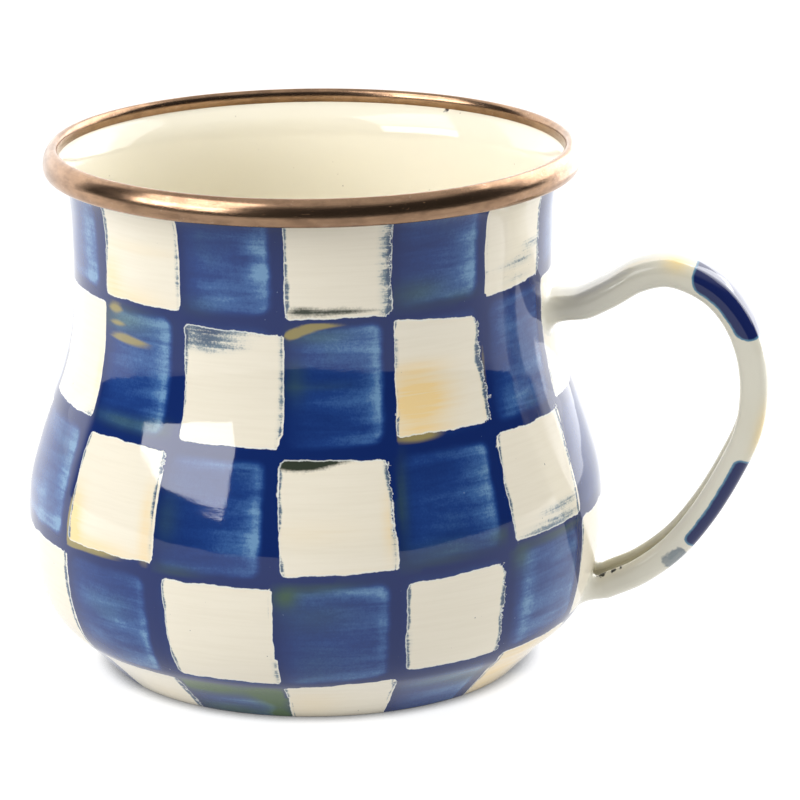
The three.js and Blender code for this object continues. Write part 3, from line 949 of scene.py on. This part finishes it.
# ---------------------------------------------------------------- place the pieces
unseen_marks()
outside = outside_piece()
paint_checks(outside)
inside = inside_piece()
shell = shell_piece()
band = band_piece()
handle_coat, handle_strap = handle_pieces()
steel = steel_material("pickled_steel")
weld = steel_material("weld_nugget", dark=True)
PIECES = [
    (outside, "outside_enamel", "painted_glaze", checks_material()),
    (inside, "inside_enamel", "inside_glaze", inside_material()),
    (shell, "body_shell", "bare_steel", steel),
    (band, "rim_band", "bronzed_band", band_material()),
    (handle_coat, "handle_enamel", "handle_glaze", handle_material()),
    (handle_strap, "handle_strap", "bare_steel", steel),
]
for piece, node, slot, material in PIECES:
    piece.data.materials.append(material)
    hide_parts(node)
    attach(piece, "root")
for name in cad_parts:
    if "_weld_" in name:
        for slot in bpy.data.objects[name].material_slots:
            slot.material = weld

# ---------------------------------------------------------------- camera, floor and light
# Found by fitting the mug's outline to the photo; metres and radians
CAMERA_AZIMUTH = math.radians(-80.7)     # from +X, so the handle is a little nearer than the axis
CAMERA_DISTANCE = 0.7887                 # along the floor
CAMERA_HEIGHT = 0.2717
LOOK_RIGHT = 0.0205                      # turn away from the mug's axis
LOOK_DOWN = 0.2747
ROLL = -0.0073
LENS = 194.15


def add_camera():
    data = bpy.data.cameras.new("studio_camera")
    data.lens, data.sensor_width = LENS, 36
    data.clip_start, data.clip_end = 0.05, 20
    cam = bpy.data.objects.new("studio_camera", data)
    bpy.context.collection.objects.link(cam)
    towards = CAMERA_AZIMUTH + math.pi - LOOK_RIGHT
    forward = Vector((math.cos(towards) * math.cos(LOOK_DOWN), math.sin(towards) * math.cos(LOOK_DOWN),
                      -math.sin(LOOK_DOWN)))
    right = Vector((math.sin(towards), -math.cos(towards), 0))
    up = right.cross(forward)
    side = math.cos(ROLL) * right + math.sin(ROLL) * up
    top = math.cos(ROLL) * up - math.sin(ROLL) * right
    turn = Matrix((side, top, -forward)).transposed().to_4x4()
    cam.matrix_world = Matrix.Translation((
        CAMERA_DISTANCE * math.cos(CAMERA_AZIMUTH), CAMERA_DISTANCE * math.sin(CAMERA_AZIMUTH),
        CAMERA_HEIGHT)) @ turn
    bpy.context.scene.camera = cam


add_camera()
scene = bpy.context.scene
scene.view_settings.view_transform = "Standard"
scene.view_settings.look = "None"


def add_floor():
    """White light table: it glows all over, with a painted contact shadow greying it where the foot stands
    close above.
    """
    mesh = bpy.data.meshes.new("white_floor")
    back, front = 4.0, 0.78
    mesh.from_pydata([(-back, -front, 0), (back, -front, 0), (back, back, 0), (-back, back, 0)], [],
                     [(0, 1, 2, 3)])
    floor = bpy.data.objects.new("white_floor", mesh)
    floor.rotation_euler.z = CAMERA_AZIMUTH + math.pi / 2
    bpy.context.collection.objects.link(floor)
    g = Shader("white_floor")
    near = g.node("ShaderNodeAmbientOcclusion", samples=8)
    near.inputs["Distance"].default_value = 0.005
    straight = g.node("ShaderNodeLightPath").outputs["Is Camera Ray"]
    along = g.node("ShaderNodeSeparateXYZ")
    g.put(g.place, along.inputs[0])
    mirrored = g.add(0.62, g.mul(g.ease(along.outputs["Y"], -0.12, 0.12), 0.6))
    glow = g.add(g.mul(straight, 0.94), g.mul(g.sub(1.0, straight), mirrored))
    # painted contact shadow: ambient occlusion dims the floor's glow round the foot
    glow = g.mul(g.ease(near.outputs["AO"], 0.0, 0.5), glow)
    g.put(glow, g.bsdf.inputs["Emission Strength"])
    g.bsdf.inputs["Emission Color"].default_value = (1, 1, 1, 1)
    mesh.materials.append(g.finish((0.12, 0.12, 0.12, 1), 0.9))


add_floor()

DARK_AZIMUTH = math.radians(-80)        # middle of the dark part of the room
DARK_HALF_WIDTH = math.radians(116)
SWEEP_GLOW, ROOM_GLOW, CEILING_GLOW = 1.8, 0.05, 0.72


def add_world():
    """White sweep behind and above, a dark room in front."""
    world = bpy.data.worlds.new("studio")
    bpy.context.scene.world = world
    world.use_nodes = True
    tree = world.node_tree

    def node(kind, operation=None):
        made = tree.nodes.new(kind)
        if operation:
            made.operation = operation
        return made

    back, plain = tree.nodes["Background"], node("ShaderNodeBackground")
    where = node("ShaderNodeTexCoord")
    flat = node("ShaderNodeVectorMath", "MULTIPLY")
    flat.inputs[1].default_value = (1, 1, 0)
    heading = node("ShaderNodeVectorMath", "NORMALIZE")
    towards = node("ShaderNodeVectorMath", "DOT_PRODUCT")
    towards.inputs[1].default_value = (math.cos(DARK_AZIMUTH), math.sin(DARK_AZIMUTH), 0)
    dark = node("ShaderNodeMapRange")
    dark.interpolation_type = "SMOOTHSTEP"
    edge = math.cos(DARK_HALF_WIDTH)
    for key, value in (("From Min", edge - 0.06), ("From Max", edge + 0.06), ("To Min", SWEEP_GLOW),
                       ("To Max", ROOM_GLOW)):
        dark.inputs[key].default_value = value
    parts, ceiling = node("ShaderNodeSeparateXYZ"), node("ShaderNodeMapRange")
    ceiling.interpolation_type = "SMOOTHSTEP"
    for key, value in (("From Min", 0.55), ("From Max", 0.85), ("To Max", CEILING_GLOW)):
        ceiling.inputs[key].default_value = value
    seen, mixed = node("ShaderNodeLightPath"), node("ShaderNodeMixShader")
    for start, end in (
            (where.outputs["Generated"], flat.inputs[0]), (flat.outputs["Vector"], heading.inputs[0]),
            (heading.outputs["Vector"], towards.inputs[0]), (towards.outputs["Value"], dark.inputs["Value"]),
            (where.outputs["Generated"], parts.inputs[0]), (parts.outputs["Z"], ceiling.inputs["Value"]),
            (dark.outputs["Result"], ceiling.inputs["To Min"]),
            (ceiling.outputs["Result"], back.inputs["Strength"]),
            (seen.outputs["Is Camera Ray"], mixed.inputs["Fac"]),
            (back.outputs["Background"], mixed.inputs[1]), (plain.outputs["Background"], mixed.inputs[2]),
            (mixed.outputs["Shader"], tree.nodes["World Output"].inputs["Surface"])):
        tree.links.new(start, end)
    for background in (back, plain):
        background.inputs["Color"].default_value = (1, 1, 1, 1)
    plain.inputs["Strength"].default_value = 1.0


def add_softbox(name, azimuth, elevation, distance, width, height, watts, mirrored):
    data = bpy.data.lights.new(name, "AREA")
    data.shape = "RECTANGLE"
    data.size, data.size_y, data.energy = width, height, watts
    lamp = bpy.data.objects.new(name, data)
    bpy.context.collection.objects.link(lamp)
    aim = Vector((math.cos(azimuth) * math.cos(elevation), math.sin(azimuth) * math.cos(elevation),
                  math.sin(elevation)))
    lamp.location = Vector((0, 0, HEIGHT * MM / 2)) + aim * distance
    lamp.rotation_euler = aim.to_track_quat("Z", "Y").to_euler()
    lamp.visible_camera = False
    lamp.visible_glossy = mirrored


add_world()
# Azimuth and elevation in degrees, distance, width and height in metres, watts, seen in reflections
SOFTBOXES = {
    "key_softbox": (-139, 21, 1.15, 0.86, 0.29, 5.6, True),
    "upper_softbox": (-139, 44, 1.15, 0.86, 0.56, 5.4, True),
    "right_softbox": (46, 32, 1.1, 1.0, 0.8, 6.5, True),
    "right_card": (60, 5, 0.42, 0.32, 0.18, 0.3, True),
    "fill_softbox": (-14, 20, 1.2, 0.9, 0.7, 5, False),
}
for name, (azimuth, elevation, *rest) in SOFTBOXES.items():
    add_softbox(name, math.radians(azimuth), math.radians(elevation), *rest)
